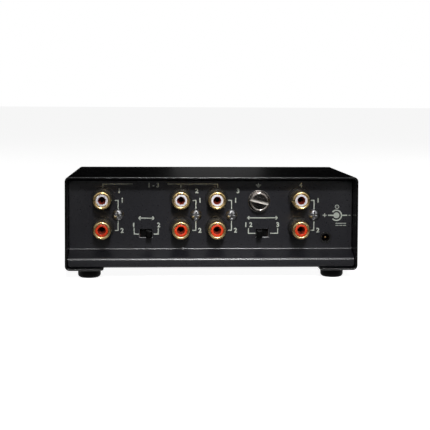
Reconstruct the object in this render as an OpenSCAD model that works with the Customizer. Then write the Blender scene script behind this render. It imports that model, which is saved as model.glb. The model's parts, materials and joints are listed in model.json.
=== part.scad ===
// Phono preamp in a two-piece folded steel case.
// Millimetres, +Z up, origin on the ground under the middle of the case.
// The connector panel faces -Y, and +X is to the right when it is seen from there.
// Heights named *_z are measured from the underside of the case, above the feet.

/* [Case] */
// Width of the case
case_w = 135; // [128:1:170]
// Depth of the case
case_d = 74; // [70:1:130]
// Height of the case without its feet
case_h = 43.2; // [42:0.2:60]
// Thickness of the steel sheet
sheet = 1; // [0.8:0.1:1.2]
// Outer radius of the cover's folds
cover_fold_r = 2.2; // [1.8:0.1:3]
// Width of the strips that are folded in under the case
strip_w = 17.6; // [17:0.1:22]
// Corner cut at the ends of these strips
strip_cut = 1.5; // [1:0.5:4]
// Gap between the cover and the tray that slides into it
tray_gap = 0.3; // [0.2:0.05:0.6]

/* [Tray] */
// Depth of the connector panel behind the cover's rear edge
panel_recess = 9.8; // [9:0.1:12]
// Depth of the lip and of the front wall behind the cover's edges
lip_recess = 2.5; // [1.5:0.1:4]
// Height of the bend at the top of the lip
lip_z = 5.1; // [4.6:0.1:6]
// Height of the bend at the foot of the connector panel
panel_foot_z = 8.25; // [8:0.05:9.5]
// Radius of the tray's folds, to the middle of the sheet
tray_fold_r = 1.3; // [1:0.1:1.5]
// Radius of the tighter fold at the foot of the lip, to the middle of the sheet
lip_fold_r = 0.6; // [0.6:0.1:1.5]
// Width of the returns at the top of both walls
return_w = 6; // [4:0.5:8]

/* [Feet] */
// Diameter of a foot
foot_d = 10.6; // [10:0.1:13]
// Height of a foot
foot_h = 4.3; // [4:0.1:8]
// Radius of its bottom edge
foot_edge_r = 1.5; // [1:0.1:1.8]
// Distance from the case's sides and ends to the middle of a foot
foot_inset = 10.5; // [9:0.5:12]

/* [Phono sockets] */
// Outer diameter of a sleeve
sleeve_d = 8.3; // [8:0.1:8.6]
// Bore of a sleeve
sleeve_bore = 6.1; // [5.8:0.1:6.4]
// How far a sleeve stands out of the panel
sleeve_out = 9; // [8.4:0.1:10]
// Wall of the moulded collar around a sleeve
collar_wall = 1; // [0.8:0.1:1.2]
// Hole in the front of an insulator
insert_hole = 3.3; // [3.26:0.02:3.6]
// Bore of a centre contact
contact_bore = 3.2; // [3.1:0.02:3.24]
// Length over which a contact grips
grip_l = 5.4; // [4:0.1:5.6]
// Distance from the top of the case down to the upper row of sockets
upper_row_drop = 11; // [10.6:0.1:12]
// Distance from the lower row to the upper row
row_pitch = 13.8; // [13:0.1:14]
// Distance from the case's left side to the first pair of sockets
input_1_inset = 16.8; // [16:0.1:18]
// Place of the second pair
input_2_x = -14.4; // [-15.5:0.1:-14]
// Place of the third pair
input_3_x = 2.3; // [2:0.1:4]
// Distance from the case's right side to the output pair
output_inset = 26.3; // [26:0.1:27]
// Distance from a pair to its fixing screw
socket_screw_side = 7.1; // [7:0.1:7.5]
// Drop of the fixing screw below the middle of its pair
socket_screw_drop = 0.5; // [0:0.1:1]

/* [Slide switches] */
// Place of the first switch
switch_1_x = -30.7; // [-31.5:0.1:-30]
// Place of the second switch
switch_2_x = 23.9; // [23:0.1:24.2]
// Height of both switches
switch_z = 16.05; // [15:0.05:16.5]
// Width of a switch slot in the panel
slot_w = 6.35; // [6.1:0.05:7]
// Height of a switch slot
slot_h = 4.2; // [4:0.1:4.6]
// Width of a lever
lever_w = 2.5; // [2.2:0.1:2.7]
// Height of a lever
lever_h = 3.3; // [3:0.1:3.5]
// How far a lever stands out of the panel
lever_out = 5; // [4:0.1:6]
// Travel of a lever between its two positions
lever_travel = 3; // [2.6:0.1:3.2]

/* [Ground terminal] */
// Place of the terminal
ground_x = 22.3; // [20:0.1:24]
// Distance from the top of the second switch's frame up to the terminal
ground_rise = 7.15; // [6.5:0.05:8]
// Diameter of the screw head
ground_head_d = 8.6; // [8:0.1:9.4]
// Height of the screw head
ground_head_t = 3.2; // [2.6:0.1:3.6]
// Diameter of the captive washer
ground_washer_d = 10.4; // [9.8:0.1:11]
// Thickness of the captive washer
ground_washer_t = 1; // [0.8:0.1:1.2]
// Diameter of the screw thread
ground_thread_d = 4; // [3.6:0.1:4.2]
// Width of the slot in the head
ground_slot_w = 1.3; // [1:0.1:1.6]
// Tilt of that slot, clockwise from level
ground_slot_tilt = 14; // [0:1:90]

/* [Power inlet] */
// Distance from the case's right side to the inlet
inlet_inset = 13.6; // [13.4:0.1:14]
// Height of the inlet
inlet_z = 13.9; // [13.5:0.1:14.5]
// Outer diameter of its nose
inlet_nose_d = 5.2; // [5:0.1:5.6]
// Bore that takes the plug's barrel
inlet_bore = 3.8; // [3.6:0.1:4]
// Diameter of the centre pin
inlet_pin_d = 1.3; // [1.2:0.05:1.4]

/* [Circuit board] */
// Thickness of the board
board_t = 1.6; // [1.2:0.1:1.6]
// Height of the standoffs under it
standoff_h = 4.4; // [4:0.1:4.6]

/* [Lamp] */
// Distance from the case's right side to the power lamp
lamp_inset = 20; // [16:0.5:40]
// Height of the power lamp
lamp_z = 21.6; // [18:0.1:26]
// Diameter of the power lamp
lamp_d = 3; // [2.8:0.1:3.4]

/* [Hidden] */
$fn = 48;
eps = 0.01;
// Radial gap of a rod in the hole of a fixed neighbour
slip = 0.05;
// Gap around parts that pass through the panel
panel_play = 0.15;

SOCKETS = ["input_1", "input_2", "input_3", "output"];
ROWS = ["lower", "upper"];
FEET = ["rear_left", "rear_right", "front_left", "front_right"];
SWITCHES = ["switch_1", "switch_2"];

// Faces and levels of the case
function level(z) = foot_h + z;
panel_y = -case_d / 2 + panel_recess;
lip_y = -case_d / 2 + lip_recess;
front_y = case_d / 2 - lip_recess;
tray_top = level(2 * sheet);
tray_w = case_w - 2 * sheet - 2 * tray_gap;
cover_inside_z = level(case_h - sheet);
board_low = tray_top + standoff_h;
board_top = board_low + board_t;

// Places of the parts on the panel
socket_x = [-case_w / 2 + input_1_inset, input_2_x, input_3_x, case_w / 2 - output_inset];
row_z = [level(case_h - upper_row_drop - row_pitch), level(case_h - upper_row_drop)];
switch_x = [switch_1_x, switch_2_x];
// The first lever rests at the right end of its travel and the second at the left end
lever_rest = [lever_travel / 2, -lever_travel / 2];
inlet_x = case_w / 2 - inlet_inset;
lamp_x = case_w / 2 - lamp_inset;

// Socket stack, measured outwards from the panel's face
collar_d = sleeve_d + 2 * collar_wall;
collar_out = 1.5;
collar_step_out = 0.7;
collar_ledge = 0.5;
shank_d = sleeve_d - 0.5;
block_w = sleeve_d + 3.1;
block_d = 12.5;
block_rise = 6;
bore_depth = 8;
chamber_w = block_w - 1.2;
lug_t = 0.6;
lug_w = 0.8;
lug_root_h = 1.2;
lug_bite = 0.3;
chamber_rise = 0.6;
lug_x = chamber_w / 2 - lug_w / 2 - 0.1;
sleeve_back = sheet + bore_depth + lug_t;
flange_t = 1.2;
flange_d = sleeve_bore + 1.3;
insert_front = sleeve_out - 0.6;
contact_front = insert_front - 1.2;
contact_wall = 0.45;
contact_relief = 0.2;
contact_slit = 0.4;
contact_d = contact_bore + 2 * contact_wall;
contact_back = sleeve_back + flange_t;
plate_t = 0.5;
plate_rim = 0.7;
tail_x = 1.5;
tail_w = 0.8;
tail_t = 0.4;
tail_back = contact_back + plate_t + 1;
tail_below = 1;
boss_d = 5.2;
boss_l = 9;
socket_screw_z = row_pitch / 2 - socket_screw_drop;
socket_screw_d = 2.4;
socket_thread_l = 8;
socket_thread_end = 1;

// Slide switch, measured inwards from the back of the panel
frame_t = 0.4;
frame_w = 13.2;
frame_l = 6.6;
frame_h = 2 * (level(switch_z) - board_top);
ground_z = switch_z + frame_h / 2 + ground_rise;
carriage_w = 8;
carriage_h = 6;
carriage_t = 2;
carriage_play = 0.1;
base_front = frame_t + carriage_t + 2 * carriage_play;
window_play = 0.25;
window_w = lever_w + lever_travel + 2 * window_play;
window_h = lever_h + 2 * window_play;
terminal_pitch = 4;
terminal_rows = [3.8, 5.6];
terminal_d = 0.7;
terminal_grip = 2.9;
terminal_hole_l = 3;

// Ground terminal
thread_gap = 0.05;
bush_af = 7;
bush_l = 8.5;
bush_spigot_d = 5.8;
strap_t = 0.5;
strap_d = 8;
strap_w = 2.6;
strap_pin_w = 1;
rivet_out = 1;
rivet_d = 5;

// Power inlet, its spring in a channel under the bore
inlet_w = 9;
inlet_l = 13;
inlet_rise = 5;
inlet_bore_l = 9.5;
inlet_nose_out = 0.2;
inlet_pin_setback = 1.2;
inlet_root_d = 1.8;
inlet_plate_h = 1.6;
leaf_w = 2;
leaf_t = 0.3;
leaf_gap = 0.05;
leaf_setback = 1.4;
leaf_channel_h = 1.2;
leaf_channel_play = 0.2;

// Fasteners
m3_d = 2.9;
m3_hole = 3;
m3_clear = 3.3;
foot_bore = 5.2;
foot_bore_l = 2;
foot_head_d = 4.7;
foot_head_t = 1.6;
thread_over = 0.6;
nut_h = 2.4;
nut_af = 5.5;
board_head_d = 5.2;
board_head_t = 1.8;
board_thread_l = 5;
socket_head_d = 5.4;
socket_head_t = 1.9;
standoff_af = 5;
spigot_d = 4.2;
board_inset = 2;
lug_hole_d = 1.1;
tail_hole_d = 1;
strap_hole_d = 1.3;
standoff_inset = 5.8;
standoff_from_foot = 6.5;
board_rear_y = panel_y + sheet + 0.3;
board_front_y = front_y - sheet - 3.5;

foot_at = [for (y = [-1, 1], x = [-1, 1])
    [x * (case_w / 2 - foot_inset), y * (case_d / 2 - foot_inset)]];
standoff_at = [for (y = [-1, 1], x = [-1, 1])
    [x * (case_w / 2 - standoff_inset), y * (case_d / 2 - foot_inset - standoff_from_foot)]];

// Draws in the plane of the panel at (x, z): +X right, +Y up, +Z out of the panel
module on_panel(x, z) {
    translate([x, panel_y, z]) rotate([90, 0, 0]) children();
}

module across_flats(af, h) {
    cylinder(d = af / cos(30), h = h, $fn = 6);
}

// A box centred on x and y, standing on z = 0
module block(w, d, h) {
    translate([-w / 2, -d / 2, 0]) cube([w, d, h]);
}

// Pan head with a cross recess, its flat underside on z = 0
module pan_head(d, h) {
    dome_r = d * 0.67;
    recess_w = d * 0.56;
    recess_t = d * 0.15;
    recess_floor = h * 0.4;
    difference() {
        rotate_extrude() intersection() {
            square([d / 2, h]);
            translate([0, h - dome_r]) circle(dome_r);
        }
        for (a = [0, 90]) rotate(a) translate([0, 0, recess_floor]) block(recess_w, recess_t, h);
    }
}

// Outline of a folded sheet: every point of the path but its ends is a bend, with a radius of its own
function unit(v) = v / norm(v);
function left_of(u) = [-u[1], u[0]];
function turned(v, a) = [v[0] * cos(a) - v[1] * sin(a), v[0] * sin(a) + v[1] * cos(a)];
function bend(a, b, c, r, side, steps = 6) =
    let (
        u = unit(b - a),
        w = unit(c - b),
        turn = atan2(cross(u, w), u * w),
        hand = sign(turn),
        centre = b - u * r * tan(abs(turn) / 2) + hand * r * left_of(u)
    )
    [for (k = [0 : steps]) centre + (side - hand * r) * turned(left_of(u), turn * k / steps)];
function one_side(path, radii, side) =
    let (n = len(path))
    concat(
        [path[0] + side * left_of(unit(path[1] - path[0]))],
        [for (i = [1 : n - 2], p = bend(path[i - 1], path[i], path[i + 1], radii[i - 1], side)) p],
        [path[n - 1] + side * left_of(unit(path[n - 1] - path[n - 2]))]
    );
function reversed(list) = [for (i = [len(list) - 1 : -1 : 0]) list[i]];
function folded(path, radii, t) =
    concat(one_side(path, radii, t / 2), reversed(one_side(path, radii, -t / 2)));

module rounded_rectangle(w, h, r) {
    square([w - 2 * r, h], center = true);
    square([w, h - 2 * r], center = true);
    for (x = [-1, 1], y = [-1, 1]) translate([x * (w / 2 - r), y * (h / 2 - r)]) circle(r);
}

// Top, sides and the two strips under the case, folded from one sheet
module outer_cover() {
    color("#1c1c1f")
    difference() {
        translate([0, 0, level(case_h / 2)]) rotate([90, 0, 0])
        linear_extrude(case_d, center = true) difference() {
            rounded_rectangle(case_w, case_h, cover_fold_r);
            rounded_rectangle(case_w - 2 * sheet, case_h - 2 * sheet, cover_fold_r - sheet);
            translate([0, -case_h / 2]) square([case_w - 2 * strip_w, 3 * sheet], center = true);
        }
        for (x = [-1, 1], y = [-1, 1])
            translate([x * (case_w / 2 - strip_w), y * case_d / 2, level(-eps)])
            rotate(45) block(strip_cut * sqrt(2), strip_cut * sqrt(2), sheet + 2 * eps);
        for (p = foot_at) translate([p[0], p[1], level(-eps)]) cylinder(d = m3_clear, h = 2 * sheet);
    }
}

// Base plate with the joggled connector panel at the rear and a plain wall at the front
module chassis_tray() {
    top_z = cover_inside_z - tray_gap - sheet / 2;
    base_z = level(1.5 * sheet);
    tray_h = top_z + sheet / 2 - level(sheet);
    tray_corner_gap = 0.5;
    path = [
        [panel_y + return_w, top_z],
        [panel_y + sheet / 2, top_z],
        [panel_y + sheet / 2, level(panel_foot_z)],
        [lip_y + sheet / 2, level(lip_z)],
        [lip_y + sheet / 2, base_z],
        [front_y - sheet / 2, base_z],
        [front_y - sheet / 2, top_z],
        [front_y - return_w, top_z]
    ];
    radii = [tray_fold_r, tray_fold_r, tray_fold_r, lip_fold_r, tray_fold_r, tray_fold_r];
    color("#1f1f22")
    difference() {
        intersection() {
            rotate([90, 0, 90]) linear_extrude(tray_w, center = true)
                polygon(folded(path, radii, sheet));
            translate([0, 0, level(sheet) + tray_h / 2]) rotate([90, 0, 0])
                linear_extrude(case_d, center = true)
                rounded_rectangle(tray_w, tray_h, cover_fold_r - sheet + tray_corner_gap);
        }
        for (x = socket_x) {
            for (z = row_z) panel_hole(x, z, collar_d + 2 * panel_play);
            panel_hole(x + socket_screw_side, row_z[0] + socket_screw_z, socket_screw_d + 4 * panel_play);
        }
        for (x = switch_x) on_panel(x, level(switch_z))
            translate([0, 0, -2 * sheet]) block(slot_w, slot_h, 3 * sheet);
        panel_hole(ground_x, level(ground_z), bush_spigot_d + 2 * slip);
        panel_hole(inlet_x, level(inlet_z), inlet_nose_d + 2 * panel_play);
        translate([lamp_x, front_y + sheet, level(lamp_z)]) rotate([90, 0, 0])
            cylinder(d = lamp_d + 2 * panel_play, h = 3 * sheet);
        for (p = foot_at) translate([p[0], p[1], level(0)]) cylinder(d = m3_clear, h = 3 * sheet);
        for (p = standoff_at)
            translate([p[0], p[1], level(0)]) cylinder(d = spigot_d + 2 * slip, h = 3 * sheet);
    }
}

module panel_hole(x, z, d) {
    on_panel(x, z) translate([0, 0, -2 * sheet]) cylinder(d = d, h = 3 * sheet);
}

// Rubber foot with a rounded bottom edge and a deep bore for its screw head
module foot(k) {
    color("#0d0d0e")
    translate([foot_at[k][0], foot_at[k][1], 0])
    rotate_extrude() difference() {
        union() {
            translate([0, foot_edge_r]) square([foot_d / 2, foot_h - foot_edge_r]);
            square([foot_d / 2 - foot_edge_r, foot_edge_r + eps]);
            translate([foot_d / 2 - foot_edge_r, foot_edge_r]) circle(foot_edge_r);
        }
        translate([-1, -1]) square([1 + m3_clear / 2, foot_h + 2]);
        translate([-1, -1]) square([1 + foot_bore / 2, 1 + foot_bore_l]);
    }
}

module foot_screws() {
    color("#8c8c90")
    for (p = foot_at) translate([p[0], p[1], foot_bore_l]) {
        mirror([0, 0, 1]) pan_head(foot_head_d, foot_head_t);
        cylinder(d = m3_d, h = tray_top + nut_h + thread_over - foot_bore_l);
    }
}

module foot_nuts() {
    color("#a8a8ac")
    for (p = foot_at) translate([p[0], p[1], tray_top]) difference() {
        across_flats(nut_af, nut_h);
        translate([0, 0, -eps]) cylinder(d = m3_hole, h = nut_h + 2 * eps);
    }
}

// Green board with holes for its screws and for every tail that is soldered in
module circuit_board() {
    board_w = case_w - 2 * sheet - 2 * board_inset;
    color("#1d5b33")
    difference() {
        translate([-board_w / 2, board_rear_y, board_low])
            cube([board_w, board_front_y - board_rear_y, board_t]);
        for (p = standoff_at) board_hole(p[0], p[1], m3_clear);
        for (x = socket_x, j = [0, 1]) {
            board_hole(x + row_side(j) * lug_x, panel_y + sleeve_back - lug_t / 2, lug_hole_d);
            board_hole(x + row_side(j) * tail_x, panel_y + tail_back - tail_t / 2, tail_hole_d);
        }
        for (x = switch_x, c = [-1 : 1], r = terminal_rows)
            board_hole(x + c * terminal_pitch, panel_y + sheet + r, terminal_d + 2 * slip);
        board_hole(ground_x, strap_y + strap_t / 2, strap_hole_d);
        board_hole(inlet_x, inlet_back_y + tail_t / 2, lug_hole_d);
        board_hole(inlet_x + inlet_w / 4, inlet_back_y + tail_t / 2, lug_hole_d);
    }
}

module board_hole(x, y, d) {
    translate([x, y, board_low - eps]) cylinder(d = d, h = board_t + 2 * eps, $fn = 24);
}

// Hexagonal standoffs pressed into the tray
module board_standoffs() {
    color("#b9b9bd")
    for (p = standoff_at) translate([p[0], p[1], tray_top]) difference() {
        union() {
            across_flats(standoff_af, standoff_h);
            translate([0, 0, -sheet]) cylinder(d = spigot_d, h = sheet + eps);
        }
        translate([0, 0, -2 * sheet]) cylinder(d = m3_hole, h = standoff_h + 3 * sheet);
    }
}

module board_screws() {
    color("#8c8c90")
    for (p = standoff_at) translate([p[0], p[1], board_top]) {
        pan_head(board_head_d, board_head_t);
        translate([0, 0, -board_thread_l]) cylinder(d = m3_d, h = board_thread_l + eps);
    }
}

// Side on which a row's solder tails go down: lower row right, upper row left
function row_side(j) = j == 0 ? 1 : -1;

// Moulding with two stepped collars, two bores, an open chamber behind and a boss for its screw
module socket_block(i) {
    foot_drop = row_z[0] - board_top;
    color("#141416")
    on_panel(socket_x[i], row_z[0])
    difference() {
        union() {
            translate([-block_w / 2, -foot_drop, -sheet - block_d])
                cube([block_w, foot_drop + row_pitch + block_rise, block_d]);
            translate([socket_screw_side, socket_screw_z, -sheet - boss_l]) cylinder(d = boss_d, h = boss_l);
            translate([0, socket_screw_z - boss_d / 2, -sheet - boss_l])
                cube([socket_screw_side, boss_d, boss_l]);
            for (j = [0, 1]) translate([0, j * row_pitch, -sheet - eps]) {
                cylinder(d = collar_d, h = sheet + collar_step_out + eps);
                cylinder(d = collar_d - 2 * collar_ledge, h = sheet + collar_out + eps);
            }
        }
        for (j = [0, 1]) translate([0, j * row_pitch, -sheet - block_d])
            cylinder(d = shank_d + 2 * slip, h = block_d + sheet + 2 * collar_out);
        translate([-chamber_w / 2, -foot_drop - eps, -sheet - block_d - eps])
            cube([chamber_w, foot_drop + row_pitch + shank_d / 2 + chamber_rise, block_d - bore_depth + eps]);
        translate([socket_screw_side, socket_screw_z, -socket_thread_l - socket_thread_end])
            cylinder(d = socket_screw_d + 2 * slip, h = socket_thread_l + 2 * sheet);
    }
}

// Turned sleeve: shank in the moulding, shoulder on the collar, rolled lip, earth lug behind
module sleeve(i, j) {
    lip_r = (sleeve_d - sleeve_bore) / 4;
    side = row_side(j);
    lug_root = shank_d / 2 - lug_bite;
    lug_low = board_low - tail_below - row_z[j];
    color("#d8ae52")
    on_panel(socket_x[i], row_z[j]) {
        rotate_extrude() {
            translate([sleeve_bore / 2, -sleeve_back])
                square([(shank_d - sleeve_bore) / 2, sleeve_back + collar_out + eps]);
            translate([sleeve_bore / 2, collar_out])
                square([(sleeve_d - sleeve_bore) / 2, sleeve_out - lip_r - collar_out]);
            translate([sleeve_bore / 2 + lip_r, sleeve_out - lip_r]) circle(lip_r);
        }
        translate([side * (lug_x + lug_w / 2 + lug_root) / 2, 0, -sleeve_back])
            block(lug_x + lug_w / 2 - lug_root, lug_root_h, lug_t);
        translate([side * lug_x - lug_w / 2, lug_low, -sleeve_back]) cube([lug_w, -lug_low, lug_t]);
    }
}

// Coloured insulator with a flared mouth, its rear flange against the end of the sleeve
module insulator(i, j) {
    ring_d = sleeve_bore - 2 * slip;
    seat_d = contact_d + 2 * slip;
    edge = 0.3;
    mouth_flare = 0.2;
    color(j == 0 ? "#d8401a" : "#f2f0ec")
    on_panel(socket_x[i], row_z[j])
    rotate_extrude() polygon([
        [insert_hole / 2 + mouth_flare, insert_front],
        [ring_d / 2 - edge, insert_front],
        [ring_d / 2, insert_front - edge],
        [ring_d / 2, -sleeve_back],
        [flange_d / 2, -sleeve_back],
        [flange_d / 2, -contact_back],
        [seat_d / 2, -contact_back],
        [seat_d / 2, contact_front],
        [insert_hole / 2, contact_front]
    ]);
}

// Split tube that grips a plug's pin, closed behind, with a tail down to the board
module contact(i, j) {
    side = row_side(j);
    relief_front = contact_front - grip_l;
    tail_low = board_low - tail_below - row_z[j];
    color("#a89a78")
    on_panel(socket_x[i], row_z[j]) {
        difference() {
            union() {
                translate([0, 0, -contact_back]) cylinder(d = contact_d, h = contact_back + contact_front);
                translate([0, 0, -contact_back - plate_t])
                    cylinder(d = contact_d + 2 * plate_rim, h = plate_t);
            }
            translate([0, 0, relief_front]) cylinder(d = contact_bore, h = grip_l + 1);
            translate([0, 0, -contact_back])
                cylinder(d = contact_bore + 2 * contact_relief, h = contact_back + relief_front + eps);
            translate([0, 0, relief_front + contact_slit]) block(2 * contact_d, contact_slit, grip_l);
        }
        translate([side * tail_x, 0, -tail_back]) block(tail_w, tail_w, 1 + eps);
        translate([side * tail_x - tail_w / 2, tail_low, -tail_back]) cube([tail_w, -tail_low, tail_t]);
    }
}

module socket_screws() {
    color("#1a1a1c")
    for (x = socket_x) on_panel(x + socket_screw_side, row_z[0] + socket_screw_z) {
        pan_head(socket_head_d, socket_head_t);
        translate([0, 0, -socket_thread_l]) cylinder(d = socket_screw_d, h = socket_thread_l + eps);
    }
}

// Steel frame of a slide switch: front plate with a window, and two sides bent back
module switch_frame(k) {
    color("#9a9a9e")
    on_panel(switch_x[k], level(switch_z)) translate([0, 0, -sheet - frame_l]) difference() {
        block(frame_w, frame_h, frame_l);
        translate([0, 0, -eps]) block(frame_w - 2 * frame_t, frame_h + 2 * eps, frame_l - frame_t + eps);
        block(window_w, window_h, 2 * frame_l);
    }
}

// Moulded base between the frame's sides, with blind holes for the terminals
module switch_base(k) {
    base_l = frame_l - base_front;
    color("#5a2c1c")
    on_panel(switch_x[k], level(switch_z)) difference() {
        translate([0, 0, -sheet - frame_l]) block(frame_w - 2 * frame_t, frame_h, base_l);
        for (c = [-1 : 1], r = terminal_rows)
            translate([c * terminal_pitch, -frame_h / 2 - eps, -sheet - r]) rotate([-90, 0, 0])
            cylinder(d = terminal_d + 2 * slip, h = terminal_hole_l + eps, $fn = 24);
    }
}

// Lever in one piece with the carriage that slides between the frame and the base
module switch_slider(k) {
    lever_edge = 0.35;
    carriage_front = -sheet - frame_t - carriage_play;
    color("#0f0f10")
    on_panel(switch_x[k] + lever_rest[k], level(switch_z)) {
        translate([0, 0, carriage_front - carriage_t]) block(carriage_w, carriage_h, carriage_t);
        translate([0, 0, carriage_front - eps])
            block(lever_w, lever_h, lever_out - lever_edge - carriage_front + eps);
        translate([0, 0, lever_out - lever_edge - eps])
            block(lever_w - 2 * lever_edge, lever_h - 2 * lever_edge, lever_edge + eps);
    }
}

module switch_terminals() {
    color("#c4c4c8")
    for (x = switch_x, c = [-1 : 1], r = terminal_rows)
        translate([x + c * terminal_pitch, panel_y + sheet + r, board_low - tail_below])
        cylinder(d = terminal_d, h = board_t + tail_below + terminal_grip, $fn = 24);
}

// Slotted screw, its face sunk inside a rounded rim; the washer turns freely behind its head
module ground_screw() {
    rim_r = 0.4;
    face_sink = 0.25;
    slot_depth = 1.2;
    head_front = ground_washer_t + ground_head_t;
    color("#c9c6c2")
    on_panel(ground_x, level(ground_z)) difference() {
        union() {
            translate([0, 0, ground_washer_t]) rotate_extrude() {
                square([ground_head_d / 2, ground_head_t - rim_r]);
                square([ground_head_d / 2 - rim_r, ground_head_t - face_sink]);
                translate([ground_head_d / 2 - rim_r, ground_head_t - rim_r]) circle(rim_r);
            }
            translate([0, 0, -sheet - bush_l])
                cylinder(d = ground_thread_d, h = sheet + bush_l + ground_washer_t + eps);
        }
        rotate(-ground_slot_tilt) translate([0, 0, head_front - slot_depth])
            block(2 * ground_head_d, ground_slot_w, 2 * slot_depth);
    }
}

module ground_washer() {
    color("#b4b1ad")
    on_panel(ground_x, level(ground_z)) difference() {
        cylinder(d = ground_washer_d, h = ground_washer_t);
        translate([0, 0, -eps]) cylinder(d = ground_thread_d + 4 * thread_gap, h = ground_washer_t + 2 * eps);
    }
}

// Hexagonal threaded bush pressed into the panel, with a rivet end behind
module ground_bush() {
    color("#a4a2a0")
    on_panel(ground_x, level(ground_z)) difference() {
        union() {
            translate([0, 0, -sheet]) cylinder(d = bush_spigot_d, h = sheet);
            translate([0, 0, -sheet - bush_l]) across_flats(bush_af, bush_l);
            translate([0, 0, -sheet - bush_l - rivet_out]) cylinder(d = rivet_d, h = rivet_out + eps);
        }
        translate([0, 0, -sheet - bush_l - rivet_out - eps])
            cylinder(d = ground_thread_d + 2 * thread_gap, h = sheet + bush_l + rivet_out + 2 * eps);
    }
}

strap_y = panel_y + sheet + bush_l;

// Tinned strap from the bush down to the board, clear behind the second switch
module ground_strap() {
    drop = level(ground_z) - board_top;
    color("#c8c8cc")
    on_panel(ground_x, level(ground_z)) translate([0, 0, -sheet - bush_l - strap_t]) difference() {
        union() {
            cylinder(d = strap_d, h = strap_t);
            translate([-strap_w / 2, -drop, 0]) cube([strap_w, drop, strap_t]);
            translate([-strap_pin_w / 2, -drop - board_t - tail_below, 0])
                cube([strap_pin_w, board_t + tail_below + eps, strap_t]);
        }
        translate([0, 0, -eps]) cylinder(d = rivet_d + 2 * slip, h = strap_t + 2 * eps);
    }
}

inlet_back_y = panel_y + sheet + inlet_l;

// Moulded inlet: round nose through the panel, blind bore, channel for the side spring
module inlet_body() {
    drop = level(inlet_z) - board_top;
    color("#121214")
    on_panel(inlet_x, level(inlet_z)) difference() {
        union() {
            translate([-inlet_w / 2, -drop, -sheet - inlet_l]) cube([inlet_w, drop + inlet_rise, inlet_l]);
            translate([0, 0, -sheet - eps]) cylinder(d = inlet_nose_d, h = sheet + inlet_nose_out + eps);
        }
        translate([0, 0, inlet_nose_out - inlet_bore_l]) cylinder(d = inlet_bore, h = inlet_bore_l + 1);
        translate([0, 0, -sheet - inlet_l - eps]) cylinder(d = inlet_root_d + 2 * slip, h = inlet_l);
        translate([0, -inlet_bore / 2, -sheet - inlet_l - eps])
            block(leaf_w + 2 * leaf_channel_play, leaf_channel_h, inlet_l - 1 + eps);
    }
}

// Centre pin with a rounded tip and a thicker root in the back of the inlet, and its solder tail
module inlet_pin() {
    drop = level(inlet_z) - board_low + tail_below;
    bore_floor = inlet_nose_out - inlet_bore_l;
    tip = -inlet_pin_setback - inlet_pin_d / 2;
    color("#c9b27a")
    on_panel(inlet_x, level(inlet_z)) {
        translate([0, 0, -sheet - inlet_l]) cylinder(d = inlet_root_d, h = sheet + inlet_l + bore_floor);
        translate([0, 0, bore_floor - eps]) cylinder(d = inlet_pin_d, h = tip - bore_floor + eps, $fn = 32);
        translate([0, 0, tip]) sphere(d = inlet_pin_d, $fn = 32);
        translate([-inlet_root_d / 2, -inlet_plate_h / 2, -sheet - inlet_l - tail_t])
            cube([inlet_w / 4 + inlet_root_d / 2 + tail_w / 2, inlet_plate_h, tail_t]);
        translate([inlet_w / 4 - tail_w / 2, -drop, -sheet - inlet_l - tail_t]) cube([tail_w, drop, tail_t]);
    }
}

// Flat spring that presses on the plug's barrel, and its solder tail
module inlet_spring() {
    drop = level(inlet_z) - board_low + tail_below;
    leaf_top = -inlet_bore / 2 - leaf_gap;
    color("#c4c4c8")
    on_panel(inlet_x, level(inlet_z)) {
        translate([0, leaf_top - leaf_t / 2, -sheet - inlet_l - tail_t])
            block(leaf_w, leaf_t, inlet_l - leaf_setback + tail_t);
        translate([-tail_w / 2, -drop, -sheet - inlet_l - tail_t]) cube([tail_w, drop + leaf_top, tail_t]);
    }
}

lamp_nose = 4;
lamp_flange = 0.4;
lamp_flange_t = 1;
holder_l = 5;
holder_wall = 1.5;
lamp_seat_y = front_y - sheet - lamp_nose;

// Lamp with a flanged base and a round nose through the front wall
module power_lamp() {
    color("#2f6fd0")
    translate([lamp_x, lamp_seat_y, level(lamp_z)]) rotate([-90, 0, 0]) {
        cylinder(d = lamp_d + 2 * lamp_flange, h = lamp_flange_t);
        cylinder(d = lamp_d, h = sheet + lamp_nose);
        translate([0, 0, sheet + lamp_nose]) intersection() {
            sphere(d = lamp_d);
            block(2 * lamp_d, 2 * lamp_d, lamp_d);
        }
    }
}

module lamp_holder() {
    color("#202022")
    translate([lamp_x, lamp_seat_y - holder_l / 2, board_top])
        block(lamp_d + 2 * holder_wall, holder_l, level(lamp_z) - board_top + lamp_d / 2 + holder_wall);
}

// Parts on the board: rows are distances from its rear edge
column_pitch = 24;
chip_row = 26;
chip_w = 9.6;
chip_d = 6.4;
chip_h = 3.2;
leg_h = 0.8;
leg_pitch = 2.54;
leg_w = 0.6;
leg_t = 0.8;
notch_d = 1.6;
notch_h = 0.5;
capacitor_row = 24;
capacitor_pitch = 12;
capacitor_inset = 15.5;
can_d = 8;
can_h = 11.5;
groove_r = 0.7;
groove_h = 1.6;
resistor_row = 34;
resistor_pitch = 4;
resistor_l = 6.2;
resistor_d = 2.4;
lead_d = 0.6;
lead_span = 10;

// Three eight-legged amplifier chips across the middle of the board
module amplifier_chips() {
    color("#1b1b1d")
    for (k = [-1 : 1]) translate([k * column_pitch, board_rear_y + chip_row, board_top]) {
        difference() {
            translate([0, 0, leg_h]) block(chip_w, chip_d, chip_h);
            translate([-chip_w / 2, 0, leg_h + chip_h - notch_h]) cylinder(d = notch_d, h = 2 * notch_h);
        }
        for (x = [-1.5 : 1 : 1.5], y = [-1, 1])
            translate([x * leg_pitch, y * chip_d / 2, 0]) block(leg_w, leg_t, leg_h + chip_h / 2);
    }
}

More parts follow.
